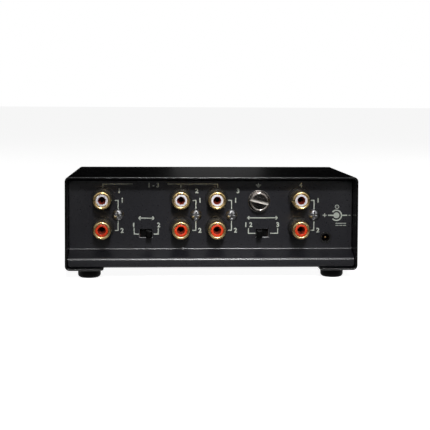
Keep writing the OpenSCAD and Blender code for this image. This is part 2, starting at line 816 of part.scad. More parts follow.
// Upright electrolytic capacitors with a rolled groove above the base
module filter_capacitors() {
    color("#23262d")
    for (side = [-1, 1], k = [0, 1], row = [0, 1])
        translate([
            side * (case_w / 2 - capacitor_inset - k * capacitor_pitch),
            board_rear_y + capacitor_row + row * capacitor_pitch,
            board_top
        ])
        difference() {
            cylinder(d = can_d, h = can_h);
            translate([0, 0, groove_h]) rotate_extrude()
                translate([can_d / 2 + groove_r / 2, 0]) circle(groove_r, $fn = 24);
        }
}

// Resistors lying on the board, each with its two leads bent down to it
module resistors() {
    color("#7d9bb5")
    for (column = [-1 : 1], k = [0 : 2])
        translate([
            column * column_pitch,
            board_rear_y + resistor_row + k * resistor_pitch,
            board_top + resistor_d / 2
        ]) {
            translate([-resistor_l / 2, 0, 0]) rotate([0, 90, 0])
                cylinder(d = resistor_d, h = resistor_l, $fn = 24);
            translate([-lead_span / 2, 0, 0]) rotate([0, 90, 0])
                cylinder(d = lead_d, h = lead_span, $fn = 16);
            for (side = [-1, 1]) translate([side * lead_span / 2, 0, -resistor_d / 2])
                cylinder(d = lead_d, h = (resistor_d + lead_d) / 2, $fn = 16);
        }
}

outer_cover();
chassis_tray();
for (k = [0 : 3]) foot(k);
foot_screws();
foot_nuts();
circuit_board();
board_standoffs();
board_screws();
for (i = [0 : 3]) socket_block(i);
for (i = [0 : 3], j = [0, 1]) {
    sleeve(i, j);
    insulator(i, j);
    contact(i, j);
}
socket_screws();
for (k = [0, 1]) {
    switch_frame(k);
    switch_base(k);
    switch_slider(k);
}
switch_terminals();
ground_screw();
ground_washer();
ground_bush();
ground_strap();
inlet_body();
inlet_pin();
inlet_spring();
power_lamp();
lamp_holder();
amplifier_chips();
filter_capacitors();
resistors();
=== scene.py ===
import json
import math
import bmesh
import bpy
import numpy as np
from mathutils import Matrix, Vector


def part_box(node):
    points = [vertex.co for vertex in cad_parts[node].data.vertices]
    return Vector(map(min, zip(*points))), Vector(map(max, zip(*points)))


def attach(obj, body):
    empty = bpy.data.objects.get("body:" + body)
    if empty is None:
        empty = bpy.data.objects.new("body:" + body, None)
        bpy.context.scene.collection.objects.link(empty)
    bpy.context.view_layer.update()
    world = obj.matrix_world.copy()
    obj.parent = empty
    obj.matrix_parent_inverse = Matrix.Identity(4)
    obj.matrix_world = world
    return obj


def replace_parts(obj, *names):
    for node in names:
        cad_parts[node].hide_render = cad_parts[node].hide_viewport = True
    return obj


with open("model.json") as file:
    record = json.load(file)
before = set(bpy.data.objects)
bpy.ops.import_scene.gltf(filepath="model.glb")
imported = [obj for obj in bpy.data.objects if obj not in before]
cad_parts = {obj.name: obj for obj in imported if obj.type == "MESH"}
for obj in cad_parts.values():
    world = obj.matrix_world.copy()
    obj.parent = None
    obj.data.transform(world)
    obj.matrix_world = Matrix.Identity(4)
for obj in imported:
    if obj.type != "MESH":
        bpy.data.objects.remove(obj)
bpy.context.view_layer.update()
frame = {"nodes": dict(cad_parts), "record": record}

# Phono preamp seen from its connector side: -Y is towards the viewer, +X to the right, +Z up.
# Sizes are in millimetres, and become metres where a mesh is made.
mm = 0.001
weld = 0.001 * mm  # points closer than this are one point
nodes = frame["nodes"]
bodyOf = {n: body for body, members in frame["record"]["behaviour"]["bodies"].items() for n in members}
slotOf = {n: nodes[n].data.materials[0].name for n in nodes}
sockets = ["input_1", "input_2", "input_3", "output"]
rows = ["lower", "upper"]
feet = ["rear_left_foot", "rear_right_foot", "front_left_foot", "front_right_foot"]


def middle(node):
    # the middle of a node's box, in millimetres
    low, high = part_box(node)
    return np.array((low + high) / 2) / mm


# places read from the frame
coverLow, coverHigh = (np.array(corner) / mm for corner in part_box("outer_cover"))
socketX = [middle(s + "_upper_insulator")[0] for s in sockets]
rowZ = [middle("input_1_" + r + "_insulator")[2] for r in rows]
screwZ = middle("socket_screws")[2]
groundX = middle("ground_washer")[0]
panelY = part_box("ground_washer")[1].y / mm  # the washer lies on the panel's outer face
tailPastBoard = 1.0  # the sockets' tails go through the board and end this far below it
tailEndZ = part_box("circuit_board")[0].z / mm - tailPastBoard


def gridFaces(rowCount, columnCount, loopRows=False, loopColumns=False):
    # quads between neighbouring rows and columns of a grid of points, numbered row by row
    i = np.arange(rowCount if loopRows else rowCount - 1)[:, None]
    j = np.arange(columnCount if loopColumns else columnCount - 1)[None, :]
    iNext, jNext = (i + 1) % rowCount, (j + 1) % columnCount
    corners = [
        i * columnCount + j, i * columnCount + jNext, iNext * columnCount + jNext, iNext * columnCount + j]
    return np.stack(np.broadcast_arrays(*corners), axis=-1).reshape(-1, 4)


def merged(parts):
    # several (points, faces) pairs as one pair
    offsets = np.cumsum([0] + [len(p) for p, f in parts[:-1]])
    faces = [[v + o for v in face] for (p, f), o in zip(parts, offsets.tolist()) for face in f]
    return np.concatenate([p for p, f in parts]), faces


def addObject(name, data):
    # an object at the origin, in the scene's own collection
    made = bpy.data.objects.new(name, data)
    bpy.context.scene.collection.objects.link(made)
    return made


def closeMesh(mesh, sharpAngle):
    # welds doubled points, turns the faces outwards and shades smooth up to the sharp angle
    bm = bmesh.new()
    bm.from_mesh(mesh)
    bmesh.ops.remove_doubles(bm, verts=bm.verts, dist=weld)
    bmesh.ops.recalc_face_normals(bm, faces=bm.faces)
    bm.to_mesh(mesh)
    bm.free()
    mesh.shade_smooth()
    mesh.set_sharp_from_angle(angle=math.radians(sharpAngle))


def newPiece(name, points, faces, finish, body, sharpAngle=35):
    # points in millimetres, shape (n, 3); faces as an array of quads or a list of polygons
    mesh = bpy.data.meshes.new(name)
    faceList = faces if isinstance(faces, list) else faces.tolist()
    mesh.from_pydata((np.asarray(points) * mm).tolist(), [], faceList)
    closeMesh(mesh, sharpAngle)
    piece = addObject(name, mesh)
    mesh.materials.append(finishes[finish])
    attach(piece, body)
    return piece


def lathe(profile, x, z, steps=96, sweep=None):
    # a closed profile of (radius r, distance out of the panel) turned about the line through (x, z) along Y:
    # point = (x + r sin a, panelY - out, z + r cos a). A sweep from one angle to another has two flat ends
    profile = np.asarray(profile)
    first, last = np.radians(sweep or (0, 360))
    a = np.linspace(first, last, steps, endpoint=sweep is not None)[:, None]
    r, out = profile[:, 0], profile[:, 1]
    y = np.broadcast_to(panelY - out, (steps, len(r)))
    points = np.stack([x + r * np.sin(a), y, z + r * np.cos(a)], -1)
    faces = gridFaces(steps, len(r), loopRows=sweep is None, loopColumns=True).tolist()
    if sweep:
        faces += [list(range(len(r))), list(range((steps - 1) * len(r), steps * len(r)))]
    return points.reshape(-1, 3), faces


def bar(low, high):
    # a rectangular bar between two corners
    low, high = np.asarray(low, float), np.asarray(high, float)
    pick = np.array([[0, 0, 0], [1, 0, 0], [1, 1, 0], [0, 1, 0], [0, 0, 1], [1, 0, 1], [1, 1, 1], [0, 1, 1]])
    faces = [[0, 3, 2, 1], [4, 5, 6, 7], [0, 1, 5, 4], [1, 2, 6, 5], [2, 3, 7, 6], [3, 0, 4, 7]]
    return np.where(pick == 1, np.maximum(low, high), np.minimum(low, high)), faces


def rounded(corners, radii, steps=5):
    # closed outline whose corners are arcs: each arc touches both sides, and its centre is on the bisector,
    # r / sin of half the corner's angle away from the corner
    corners = np.asarray(corners, float)
    straight = 1e-3  # a corner that turns by less, in radians, stays as it is
    arcs = []
    for k, r in enumerate(radii):
        before, here, after = corners[k - 1], corners[k], corners[(k + 1) % len(corners)]
        u = (before - here) / np.linalg.norm(before - here)
        w = (after - here) / np.linalg.norm(after - here)
        half = math.acos(np.clip(u @ w, -1, 1)) / 2
        if r == 0 or abs(half - np.pi / 2) < straight:
            arcs.append(here[None])
            continue
        centre = here + (u + w) / np.linalg.norm(u + w) * r / math.sin(half)
        start = here + u * r / math.tan(half) - centre
        end = here + w * r / math.tan(half) - centre
        t = np.linspace(0, 1, steps + 1)[:, None]
        chord = start * (1 - t) + end * t
        arcs.append(centre + r * chord / np.linalg.norm(chord, axis=1)[:, None])
    return np.concatenate(arcs)


def colour(r, g, b):
    # 0-255 display values to linear light
    c = np.array([r, g, b]) / 255
    return (*np.where(c <= 0.04045, c / 12.92, ((c + 0.055) / 1.055) ** 2.4), 1)


def addNode(tree, kind, inputs=None, **settings):
    # a shader node: an input given as a socket is linked, and any other is set
    node = tree.nodes.new(kind)
    for key, value in settings.items():
        setattr(node, key, value)
    for key, value in (inputs or {}).items():
        if isinstance(value, bpy.types.NodeSocket):
            tree.links.new(value, node.inputs[key])
        else:
            node.inputs[key].default_value = value
    return node


def surfaceFinish(name, spec):
    # Principled surface: colour and roughness run between two values on noise, and a finer noise is the bump
    spec = {**finishDefaults, **spec}
    material = bpy.data.materials.new(name + "_finish")
    material.use_nodes = True
    tree = material.node_tree
    tree.nodes.clear()
    place = addNode(tree, "ShaderNodeTexCoord").outputs["Object"]
    stretch = addNode(tree, "ShaderNodeMapping", {"Vector": place, "Scale": spec["stretch"]})
    patches = addNode(tree, "ShaderNodeTexNoise", {
        "Vector": stretch.outputs["Vector"], "Scale": spec["patchScale"], "Detail": spec["patchDetail"]})
    shade = addNode(tree, "ShaderNodeMix", {
        0: patches.outputs["Fac"], 6: colour(*spec["dark"]), 7: colour(*spec["light"])}, data_type="RGBA")
    rough = addNode(tree, "ShaderNodeMapRange", {
        "Value": patches.outputs["Fac"], "From Min": spec["patchRange"][0], "From Max": spec["patchRange"][1],
        "To Min": spec["rough"][0], "To Max": spec["rough"][1]})
    grain = addNode(tree, "ShaderNodeTexNoise", {
        "Vector": stretch.outputs["Vector"], "Scale": spec["grainScale"], "Detail": spec["grainDetail"]})
    bump = addNode(tree, "ShaderNodeBump", {
        "Height": grain.outputs["Fac"], "Strength": spec["bump"], "Distance": spec["bumpDepth"] * mm})
    shader = addNode(tree, "ShaderNodeBsdfPrincipled", {
        "Base Color": shade.outputs[2], "Roughness": rough.outputs["Result"],
        "Normal": bump.outputs["Normal"], "Metallic": spec["metallic"],
        "Specular IOR Level": spec["specular"],
        "Coat Weight": spec["coat"], "Coat Roughness": spec["coatRoughness"]})
    addNode(tree, "ShaderNodeOutputMaterial", {"Surface": shader.outputs["BSDF"]})
    return material


# finishes: dark and light are display colours, the scales count noise cells in a metre and bumpDepth is in
# millimetres
finishDefaults = dict(stretch=(1, 1, 1), patchDetail=3, grainDetail=4, patchRange=(0.3, 0.7), metallic=0,
                      specular=0.5, coat=0, coatRoughness=0.1)
finishSpecs = {
    "black_powder_coat": dict(dark=(27, 27, 31), light=(37, 37, 42), patchScale=1500, grainScale=2600,
                              rough=(0.27, 0.32), bump=0.05, bumpDepth=0.03, specular=0.55),
    # the cover's finish: the tray's black powder coat, a little smoother, and painted far darker, so that the
    # top of the case shows painted shade
    "cover_coat_painted_shade": dict(dark=(4, 4, 5), light=(8, 8, 9), patchScale=1500, grainScale=2600,
                       rough=(0.21, 0.26), bump=0.02, bumpDepth=0.02, specular=0.39),
    "black_rubber": dict(dark=(3, 3, 3), light=(7, 6, 7), patchScale=300, grainScale=4000,
                         rough=(0.45, 0.6), bump=0.3, bumpDepth=0.02, specular=0.05),
    "zinc_steel": dict(dark=(150, 150, 152), light=(188, 188, 190), patchScale=250, grainScale=3000,
                       rough=(0.25, 0.4), bump=0.3, bumpDepth=0.01, metallic=1),
    "green_board": dict(dark=(18, 78, 40), light=(28, 104, 56), patchScale=180, grainScale=2400,
                        rough=(0.3, 0.45), bump=0.2, bumpDepth=0.01),
    "black_moulding": dict(dark=(13, 13, 13), light=(22, 21, 20), patchScale=400, grainScale=3500,
                           rough=(0.28, 0.42), bump=0.25, bumpDepth=0.012),
    "gold_plate": dict(dark=(200, 170, 112), light=(224, 198, 146), patchScale=350, grainScale=2800,
                       stretch=(1, 0.15, 1), rough=(0.24, 0.3), bump=0.02, bumpDepth=0.002, metallic=1),
    "white_insulator": dict(dark=(232, 228, 236), light=(244, 242, 248), patchScale=300, grainScale=3000,
                            rough=(0.3, 0.42), bump=0.15, bumpDepth=0.008),
    "red_insulator": dict(dark=(222, 56, 16), light=(238, 70, 24), patchScale=300, grainScale=3000,
                          rough=(0.3, 0.42), bump=0.15, bumpDepth=0.008),
    "contact_brass": dict(dark=(150, 120, 84), light=(178, 146, 104), patchScale=500, grainScale=3000,
                          rough=(0.3, 0.4), bump=0.1, bumpDepth=0.01, metallic=1),
    "black_screw": dict(dark=(138, 138, 140), light=(160, 160, 162), patchScale=500, grainScale=3500,
                        rough=(0.24, 0.32), bump=0.02, bumpDepth=0.003, metallic=1),
    "brown_base": dict(dark=(34, 20, 16), light=(48, 30, 24), patchScale=300, grainScale=3000,
                       rough=(0.4, 0.55), bump=0.2, bumpDepth=0.01),
    "black_lever": dict(dark=(4, 4, 4), light=(8, 8, 8), patchScale=400, grainScale=3500,
                        rough=(0.35, 0.5), bump=0.25, bumpDepth=0.012, specular=0.08),
    "tin_plate": dict(dark=(176, 176, 178), light=(208, 208, 210), patchScale=300, grainScale=2500,
                      rough=(0.25, 0.4), bump=0.2, bumpDepth=0.008, metallic=1),
    "nickel_plate": dict(dark=(196, 188, 182), light=(220, 212, 206), patchScale=260, grainScale=2600,
                         rough=(0.12, 0.18), bump=0.03, bumpDepth=0.003, metallic=1),
    "lamp_lens": dict(dark=(30, 72, 160), light=(60, 110, 214), patchScale=300, grainScale=2000,
                      rough=(0.06, 0.12), bump=0.05, bumpDepth=0.004, coat=0.5),
    "black_epoxy": dict(dark=(26, 26, 28), light=(40, 40, 42), patchScale=400, grainScale=4000,
                        rough=(0.5, 0.65), bump=0.3, bumpDepth=0.015),
    "capacitor_sleeve": dict(dark=(30, 34, 44), light=(42, 46, 58), patchScale=200, grainScale=2000,
                             rough=(0.25, 0.35), bump=0.1, bumpDepth=0.006),
    "resistor_body": dict(dark=(104, 138, 168), light=(128, 160, 188), patchScale=600, grainScale=3000,
                          rough=(0.35, 0.5), bump=0.2, bumpDepth=0.01),
    "panel_ink": dict(dark=(180, 186, 176), light=(204, 210, 200), patchScale=1200, grainScale=3500,
                      rough=(0.5, 0.65), bump=0.3, bumpDepth=0.01, specular=0.3),
    "slot_floor": dict(dark=(176, 172, 166), light=(216, 212, 206), patchScale=400, grainScale=3000,
                       stretch=(0.3, 1, 1), rough=(0.45, 0.6), bump=0.1, bumpDepth=0.005, metallic=1),
    "contact_coat": dict(dark=(150, 56, 40), light=(176, 76, 54), patchScale=500, grainScale=3000,
                         rough=(0.45, 0.6), bump=0.2, bumpDepth=0.01, metallic=0.4),
    # the wall of a socket's hole, painted dark red: painted shade inside the hole
    "hole_painted_shade": dict(dark=(120, 18, 14), light=(150, 30, 22), patchScale=400, grainScale=3000,
                          rough=(0.35, 0.5), bump=0.2, bumpDepth=0.01),
}
finishes = {name: surfaceFinish(name, spec) for name, spec in finishSpecs.items()}
for node, item in nodes.items():
    item.data.materials[0] = finishes[slotOf[node]]
print("finishes:", len(finishes))


def paintFaces(piece, finish, choose):
    # a second finish on the faces that choose(x, y, z) picks by their middles
    piece.data.materials.append(finishes[finish])
    middles = np.zeros(len(piece.data.polygons) * 3)
    piece.data.polygons.foreach_get("center", middles)
    picked = choose(*(middles.reshape(-1, 3) / mm).T)
    piece.data.polygons.foreach_set("material_index", picked.astype(np.int32))


# outer cover: one folded sheet. The strips are the narrow ends folded in underneath
cover = dict(sheet=1.0, foldRadius=2.2, foldSteps=12, stripWidth=17.6, cornerCut=1.5, cutMargin=0.5,
             edgeRadius=0.48, edgeSteps=6, holeDiameter=3.3, holeBelow=1, holeAbove=2, holeSteps=48,
             sharpAngle=30)


def coverLine():
    # middle line of the sheet as points (x, z) with outward normals: a strip, four folds and the other strip.
    # along is the distance from a strip's very end, first round its edge and then past its corner cut
    half = cover["sheet"] / 2
    r = cover["foldRadius"] - half
    left, right = coverLow[0] + half, coverHigh[0] - half
    bottom, top = coverLow[2] + half, coverHigh[2] - half
    folds = [(left + r, bottom + r, 270), (left + r, top - r, 180),
             (right - r, top - r, 90), (right - r, bottom + r, 0)]
    stations, normals = [], []
    for x, z, startAngle in folds:
        a = np.radians(startAngle - np.linspace(0, 90, cover["foldSteps"] + 1))
        direction = np.stack([np.cos(a), np.sin(a)], -1)
        stations.append(np.array([x, z]) + r * direction)
        normals.append(direction)
    edge = np.linspace(0, cover["edgeRadius"], cover["edgeSteps"])
    along = np.concatenate([edge, [cover["cornerCut"], cover["cornerCut"] + cover["cutMargin"]]])
    level = np.full(len(along), bottom)
    leftStrip = np.stack([coverLow[0] + cover["stripWidth"] - along, level], -1)
    rightStrip = np.stack([coverHigh[0] - cover["stripWidth"] + along[::-1], level], -1)
    down = np.tile([0.0, -1.0], (len(along), 1))
    return (np.concatenate([leftStrip] + stations + [rightStrip]),
            np.concatenate([down] + normals + [down]), along)


def coverSurface():
    # the sheet's section, a rectangle with arcs at its corners, carried along the line, t across the sheet
    # and y along its depth: point = p(s) + t n(s) + y Y. Near a strip's end the section shrinks: round the
    # edge by edge - sqrt(edge^2 - (edge - along)^2), and at the corner cut by cut - along in depth
    line, normal, along = coverLine()
    half, edge = cover["sheet"] / 2, cover["edgeRadius"]
    depth = (coverHigh[1] - coverLow[1]) / 2
    shrink = edge - np.sqrt(np.maximum(edge ** 2 - np.maximum(edge - along, 0) ** 2, 0))
    cut = np.maximum(cover["cornerCut"] - along, 0)
    between = np.zeros(len(line) - 2 * len(along))
    shrink = np.concatenate([shrink, between, shrink[::-1]])[:, None]
    cut = np.concatenate([cut, between, cut[::-1]])[:, None]
    corners = [(-half, -depth), (half, -depth), (half, depth), (-half, depth)]
    section = rounded(corners, [edge] * 4, cover["edgeSteps"])
    t = np.sign(section[:, 0]) * np.maximum(np.abs(section[:, 0]) - shrink, 0)
    y = np.sign(section[:, 1]) * (np.abs(section[:, 1]) - shrink - cut)
    points = np.stack([line[:, :1] + t * normal[:, :1], y, line[:, 1:] + t * normal[:, 1:]], -1)
    count = len(section)
    k = np.arange(count // 2 - 1)
    cap = np.stack([k, k + 1, count - 2 - k, count - 1 - k], -1)
    faces = gridFaces(len(line), count, loopColumns=True)
    return points.reshape(-1, 3), np.concatenate([faces, cap, (len(line) - 1) * count + cap])


def drill(piece, centres, diameter, low, high, steps, sharpAngle):
    # round holes along Z, cut once and kept in the mesh
    a = np.linspace(0, 2 * np.pi, steps, endpoint=False)
    tools = []
    for x, y in centres:
        ring = np.stack([x + diameter / 2 * np.cos(a), y + diameter / 2 * np.sin(a)], -1)
        wall = np.concatenate([np.c_[ring, np.full(steps, low)], np.c_[ring, np.full(steps, high)]])
        ends = [list(range(steps)), list(range(steps, 2 * steps))]
        tools.append((wall, gridFaces(2, steps, loopColumns=True).tolist() + ends))
    points, faces = merged(tools)
    mesh = bpy.data.meshes.new("drills")
    mesh.from_pydata((points * mm).tolist(), [], faces)
    closeMesh(mesh, sharpAngle)
    drills = addObject("drills", mesh)
    holes = piece.modifiers.new("holes", "BOOLEAN")
    holes.object = drills
    holes.solver = "EXACT"
    bpy.context.view_layer.update()
    result = bpy.data.meshes.new_from_object(piece.evaluated_get(bpy.context.evaluated_depsgraph_get()))
    piece.modifiers.clear()
    piece.data = result
    bpy.data.objects.remove(drills)
    result.set_sharp_from_angle(angle=math.radians(sharpAngle))


points, faces = coverSurface()
# the cover takes the darker copy of the powder coat, which is painted shade on its top
coverPiece = newPiece("outer_cover_finished", points, faces, "cover_coat_painted_shade", "case",
                      cover["sharpAngle"])
drill(coverPiece, [middle(f)[:2] for f in feet], cover["holeDiameter"], coverLow[2] - cover["holeBelow"],
      coverLow[2] + cover["holeAbove"], cover["holeSteps"], cover["sharpAngle"])
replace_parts(coverPiece, "outer_cover")
print("outer cover:", len(coverPiece.data.vertices), "points")

# tray, mouldings, levers and metal parts: CAD forms with their edges broken, each to its own width
edges = dict(segments=2, sharpAngle=32, flatAngle=0.4)
edgeWidths = {
    "chassis_tray": 0.14, "inlet_body": 0.12, "switch_1_slider": 0.2, "switch_2_slider": 0.2,
    "switch_1_frame": 0.06, "switch_2_frame": 0.06, "ground_washer": 0.2, "socket_screws": 0.06,
    "foot_screws": 0.06, "power_lamp": 0.1,
}
edgeWidths.update({s + "_socket_block": 0.12 for s in sockets})
edgeWidths.update({f: 0.15 for f in feet})


def softened(node, width):
    # a copy of a CAD node with its sharp edges rounded: welded, flat areas joined, then bevelled
    source = nodes[node].data
    points = np.zeros(len(source.vertices) * 3, np.float32)
    source.vertices.foreach_get("co", points)
    corners = np.zeros(len(source.loops), np.int32)
    source.loops.foreach_get("vertex_index", corners)
    mesh = bpy.data.meshes.new(node + "_finished")
    mesh.from_pydata(points.reshape(-1, 3).tolist(), [], corners.reshape(-1, 3).tolist())
    bm = bmesh.new()
    bm.from_mesh(mesh)
    bmesh.ops.remove_doubles(bm, verts=bm.verts, dist=weld)
    bmesh.ops.dissolve_degenerate(bm, edges=bm.edges, dist=weld)
    bmesh.ops.dissolve_limit(bm, angle_limit=math.radians(edges["flatAngle"]), verts=bm.verts, edges=bm.edges)
    bm.to_mesh(mesh)
    bm.free()
    mesh.shade_smooth()
    mesh.set_sharp_from_angle(angle=math.radians(edges["sharpAngle"]))
    piece = addObject(node + "_finished", mesh)
    bevel = piece.modifiers.new("edges", "BEVEL")
    bevel.width = width * mm
    bevel.segments = edges["segments"]
    bevel.limit_method = "ANGLE"
    bevel.angle_limit = math.radians(edges["sharpAngle"])
    bevel.harden_normals = True
    mesh.materials.append(finishes[slotOf[node]])
    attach(piece, bodyOf[node])
    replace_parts(piece, node)
    return piece


for node, width in edgeWidths.items():
    softened(node, width)

# earth screw: its head stands on the washer, and the floor of its slot is brushed
groundScrew = dict(edge=0.07, washer=1.0, head=3.2, slotDepth=1.2, floorBand=0.02)
slotFloorY = panelY - (groundScrew["washer"] + groundScrew["head"] - groundScrew["slotDepth"])
paintFaces(softened("ground_screw", groundScrew["edge"]), "slot_floor",
           lambda x, y, z: np.abs(y - slotFloorY) < groundScrew["floorBand"])
print("softened:", len(edgeWidths) + 1)

# turned sleeve: shank, shoulder on the collar and rolled lip, with the earth lug and its tail behind
sleeve = dict(outer=4.15, bore=2.84, shank=3.9, shoulder=1.5, corner=0.1, front=9.0, back=-9.6, rollSteps=25,
              lugRoot=3.5, lugReach=4.4, lugThick=0.6, lugWide=1.2, tailWide=0.8)


def sleeveParts(x, z, side, s=sleeve):
    # profile: a tube with its outer corner cut at the shoulder, its front a half circle as wide as the wall
    lip = (s["outer"] - s["bore"]) / 2
    a = np.radians(np.linspace(0, 180, s["rollSteps"]))
    roll = np.stack([s["bore"] + lip + lip * np.cos(a), s["front"] - lip + lip * np.sin(a)], -1)
    profile = np.concatenate([[
        (s["bore"], s["back"]), (s["shank"], s["back"]), (s["shank"], s["shoulder"]),
        (s["outer"] - s["corner"], s["shoulder"]), (s["outer"], s["shoulder"] + s["corner"])], roll])
    lugY = panelY - s["back"]
    lugIn, tailIn, tailOut = [
        x + side * reach for reach in (s["lugRoot"], s["lugReach"], s["lugReach"] + s["tailWide"])]
    return [
        lathe(profile, x, z),
        bar((lugIn, lugY - s["lugThick"], z - s["lugWide"] / 2), (tailOut, lugY, z + s["lugWide"] / 2)),
        bar((tailIn, lugY - s["lugThick"], tailEndZ), (tailOut, lugY, z))]


# split centre contact: two half shells pinched towards each other, on a closed tube with a plate and its tail
contact = dict(outer=2.05, mouth=1.62, flareWide=0.1, flareDeep=0.15, pinch=1.12, pinchOut=4.6, pinchLong=0.4,
               relief=1.8, reliefLong=0.6, root=1.6, front=7.2, slit=0.2, back=-10.8, plate=2.75,
               plateThick=0.5, bore=0.001, tailSide=1.5, tailWide=0.8, tailThick=0.4, tailBack=-12.3,
               shellRadii=[0.1, 0.08, 0, 0, 0.2, 0.4, 0.5, 0.1], radiusSteps=4, shellSteps=40, tubeSteps=64)


def contactParts(x, z, side, c=contact):
    # both profiles are (radius, distance out of the panel), and a shell stops short of the middle by the slit
    shell = rounded([
        (c["mouth"] + c["flareWide"], c["front"]), (c["outer"], c["front"]), (c["outer"], c["root"]),
        (c["relief"], c["root"]), (c["relief"], c["root"] + c["reliefLong"]),
        (c["pinch"], c["pinchOut"] - c["pinchLong"]), (c["pinch"], c["pinchOut"]),
        (c["mouth"], c["front"] - c["flareDeep"])], c["shellRadii"], c["radiusSteps"])
    plateBack = c["back"] - c["plateThick"]
    tube = [(c["outer"], c["root"]), (c["relief"], c["root"]), (c["relief"], c["back"]),
            (c["bore"], c["back"]), (c["bore"], plateBack), (c["plate"], plateBack), (c["plate"], c["back"]),
            (c["outer"], c["back"])]
    gap = math.degrees(c["slit"] / c["outer"])
    tail, half = x + side * c["tailSide"], c["tailWide"] / 2
    plateY, tailY = panelY - plateBack, panelY - c["tailBack"]
    return [
        lathe(shell, x, z, c["shellSteps"], (-90 + gap, 90 - gap)),
        lathe(shell, x, z, c["shellSteps"], (90 + gap, 270 - gap)),
        lathe(tube, x, z, c["tubeSteps"]),
        bar((tail - half, plateY, z - half), (tail + half, tailY, z + half)),
        bar((tail - half, tailY - c["tailThick"], tailEndZ), (tail + half, tailY, z))]


for i, socket in enumerate(sockets):
    for j, row in enumerate(rows):
        side = -1 if j else 1  # the two rows' tails stand on opposite sides
        for kind, parts, finish, slot in [
                ("_sleeve", sleeveParts, "gold_plate", "gold_plate"),
                ("_contact", contactParts, "contact_coat", "contact_brass")]:
            name = socket + "_" + row + kind
            points, faces = merged(parts(socketX[i], rowZ[j], side))
            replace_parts(newPiece(name + "_finished", points, faces, finish, bodyOf[name]), name)
print("sleeves and contacts:", 2 * len(sockets) * len(rows))

# coloured insulator, with painted shade in dark red on the wall of its hole
insulator = dict(ring=2.82, hole=1.65, mouth=1.85, front=8.4, edge=0.35, lip=0.15, seat=2.1, seatFront=7.2,
                 shoulder=-9.6, flange=3.65, flangeEdge=0.1, back=-10.8, holeShadeDepth=0.2,
                 finishOfRow=dict(lower="red_insulator", upper="white_insulator"))


def insulatorProfile(s=insulator):
    # radius and distance out of the panel, from the hole round the front edge to the rear flange
    corners = [(s["mouth"], s["front"]), (s["ring"], s["front"]), (s["ring"], s["shoulder"]),
               (s["flange"], s["shoulder"]), (s["flange"], s["back"]), (s["seat"], s["back"]),
               (s["seat"], s["seatFront"]), (s["hole"], s["seatFront"])]
    return rounded(corners, [s["lip"], s["edge"], 0, s["flangeEdge"], s["flangeEdge"], 0, 0, 0])


# faces of the hole's wall deeper than this take the dark red painted shade
holeShadeY = panelY - insulator["front"] + insulator["holeShadeDepth"]
for i, socket in enumerate(sockets):
    for j, row in enumerate(rows):
        slot = insulator["finishOfRow"][row]
        name = socket + "_" + row + "_insulator"
        points, faces = lathe(insulatorProfile(), socketX[i], rowZ[j])
        piece = newPiece(name + "_finished", points, faces, slot, bodyOf[name])
        paintFaces(piece, "hole_painted_shade", lambda x, y, z: (
            np.hypot(x - socketX[i], z - rowZ[j]) < insulator["mouth"]) & (y > holeShadeY))
        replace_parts(piece, name)
print("insulators:", len(sockets) * len(rows))

# printed marks: thin raised ink, its back a little inside the panel's face
ink = dict(width=0.42, height=0.02, sunk=0.01, arrowHead=0.8, textHeight=2.25, textWeight=0.03, textDepth=0.5,
           textSteps=4, sharpAngle=30)
inkTop, inkBase = panelY - ink["height"], panelY + ink["sunk"]


def stroke(path, width=ink["width"], closed=False):
    # a flat bar section carried along a path of (x, z) on the panel. Its sides stand half a width off the
    # path, along the mitre (n1 + n2) / (1 + d1 . d2) of the directions d before and after, their normals n
    path = np.asarray(path, float)
    ahead = np.roll(path, -1, 0) - path
    if not closed:
        ahead[-1] = ahead[-2]
    ahead /= np.linalg.norm(ahead, axis=1)[:, None]
    behind = np.roll(ahead, 1, 0)
    if not closed:
        behind[0] = ahead[0]
    mitre = np.stack([-ahead[:, 1], ahead[:, 0]], -1) + np.stack([-behind[:, 1], behind[:, 0]], -1)
    mitre /= (1 + (ahead * behind).sum(1))[:, None]
    left, right = path + mitre * width / 2, path - mitre * width / 2
    base, top = np.full(len(path), inkBase), np.full(len(path), inkTop)
    ring = np.stack([
        np.stack([left[:, 0], base, left[:, 1]], -1), np.stack([left[:, 0], top, left[:, 1]], -1),
        np.stack([right[:, 0], top, right[:, 1]], -1), np.stack([right[:, 0], base, right[:, 1]], -1)], 1)
    faces = gridFaces(len(path), 4, closed, True).tolist()
    if not closed:
        last = 4 * (len(path) - 1)
        faces += [[0, 1, 2, 3], [last, last + 1, last + 2, last + 3]]
    return ring.reshape(-1, 3), faces


def arc(x, z, r, start, end, steps=40):
    # point = (x + r cos a, z + r sin a), angles in degrees, from the right and counter-clockwise
    a = np.radians(np.linspace(start, end, steps))
    return np.stack([x + r * np.cos(a), z + r * np.sin(a)], -1)


def arrow(x0, x1, z, head=ink["arrowHead"]):
    # a level line with a head at each end, its two legs at 45 degrees
    return [stroke([(x0, z), (x1, z)]),
            stroke([(x0 + head, z + head), (x0, z), (x0 + head, z - head)]),
            stroke([(x1 - head, z + head), (x1, z), (x1 - head, z - head)])]


def digits(text, x, z):
    # numbers in the built-in typeface, their middle at (x, z)
    curve = bpy.data.curves.new("digits", "FONT")
    curve.body = text
    curve.extrude = ink["textDepth"]
    curve.offset = ink["textWeight"]
    curve.resolution_u = ink["textSteps"]
    holder = addObject("digits", curve)
    bpy.context.view_layer.update()
    flat = bpy.data.meshes.new_from_object(holder)
    bpy.data.objects.remove(holder)
    points = np.zeros(len(flat.vertices) * 3)
    flat.vertices.foreach_get("co", points)
    points = points.reshape(-1, 3)
    low, high = points.min(0), points.max(0)
    scale = ink["textHeight"] / (high[1] - low[1])
    placed = np.stack([
        x + (points[:, 0] - (low[0] + high[0]) / 2) * scale,
        np.where(points[:, 2] > 0, inkTop, inkBase),
        z + (points[:, 1] - (low[1] + high[1]) / 2) * scale], -1)
    polygons = [list(p.vertices) for p in flat.polygons]
    bpy.data.meshes.remove(flat)
    return placed, polygons


def addMarks(name, parts):
    # one printed piece on the case's body
    points, faces = merged(parts)
    return newPiece(name, points, faces, "panel_ink", "case", ink["sharpAngle"])


